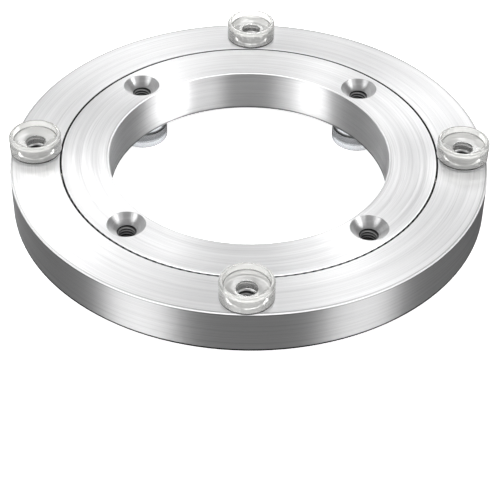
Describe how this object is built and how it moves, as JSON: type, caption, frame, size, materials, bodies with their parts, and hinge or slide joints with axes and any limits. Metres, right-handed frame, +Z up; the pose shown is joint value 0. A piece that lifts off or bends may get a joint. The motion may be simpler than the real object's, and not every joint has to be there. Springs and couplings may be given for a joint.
{
  "type": "lazy susan bearing",
  "caption": "Flat turntable bearing: flush inner and outer aluminium rings on a hidden row of steel balls, clear soft pads on the outer ring, feet under the inner.",
  "frame": {"origin": "on the turning axis, in the plane that the feet stand on", "axes": "+Z up along the turning axis, -Y to the front and +X to the right, as the picture shows it"},
  "size_m": [0.1004, 0.1004, 0.0175],
  "materials": {
    "turned_aluminium": "bright turned aluminium with fine circular tool lines",
    "clear_soft_plastic": "clear glossy soft plastic",
    "ball_steel": "polished bearing steel",
    "plug_steel": "plain steel"
  },
  "bodies": {
    "inner": {"inner_ring": "turned_aluminium", "foot_front_right": "clear_soft_plastic", "foot_rear_right": "clear_soft_plastic", "foot_rear_left": "clear_soft_plastic", "foot_front_left": "clear_soft_plastic"},
    "outer": {"outer_ring": "turned_aluminium", "ball_fill_plug": "plug_steel", "pad_front": "clear_soft_plastic", "pad_right": "clear_soft_plastic", "pad_rear": "clear_soft_plastic", "pad_left": "clear_soft_plastic"},
    "ball_row": {"ball_01": "ball_steel", "ball_02": "ball_steel", "ball_03": "ball_steel", "ball_04": "ball_steel", "ball_05": "ball_steel", "ball_06": "ball_steel", "ball_07": "ball_steel", "ball_08": "ball_steel", "ball_09": "ball_steel", "ball_10": "ball_steel", "ball_11": "ball_steel", "ball_12": "ball_steel", "ball_13": "ball_steel", "ball_14": "ball_steel", "ball_15": "ball_steel", "ball_16": "ball_steel", "ball_17": "ball_steel", "ball_18": "ball_steel", "ball_19": "ball_steel", "ball_20": "ball_steel", "ball_21": "ball_steel", "ball_22": "ball_steel", "ball_23": "ball_steel", "ball_24": "ball_steel", "ball_25": "ball_steel", "ball_26": "ball_steel", "ball_27": "ball_steel", "ball_28": "ball_steel", "ball_29": "ball_steel", "ball_30": "ball_steel", "ball_31": "ball_steel", "ball_32": "ball_steel", "ball_33": "ball_steel", "ball_34": "ball_steel", "ball_35": "ball_steel", "ball_36": "ball_steel", "ball_37": "ball_steel", "ball_38": "ball_steel", "ball_39": "ball_steel", "ball_40": "ball_steel", "ball_41": "ball_steel", "ball_42": "ball_steel", "ball_43": "ball_steel", "ball_44": "ball_steel", "ball_45": "ball_steel", "ball_46": "ball_steel", "ball_47": "ball_steel", "ball_48": "ball_steel"}
  },
  "joints": [
    {"name": "outer_spin", "type": "hinge", "parent": "inner", "child": "outer", "pos_m": [0, 0, 0.00875], "axis": [0, 0, 1], "continuous": true},
    {"name": "ball_orbit", "type": "hinge", "parent": "inner", "child": "ball_row", "pos_m": [0, 0, 0.00875], "axis": [0, 0, 1], "continuous": true}
  ],
  "couplings": [
    {"joint": "ball_orbit", "follows": "outer_spin", "ratio": 0.5301}
  ]
}
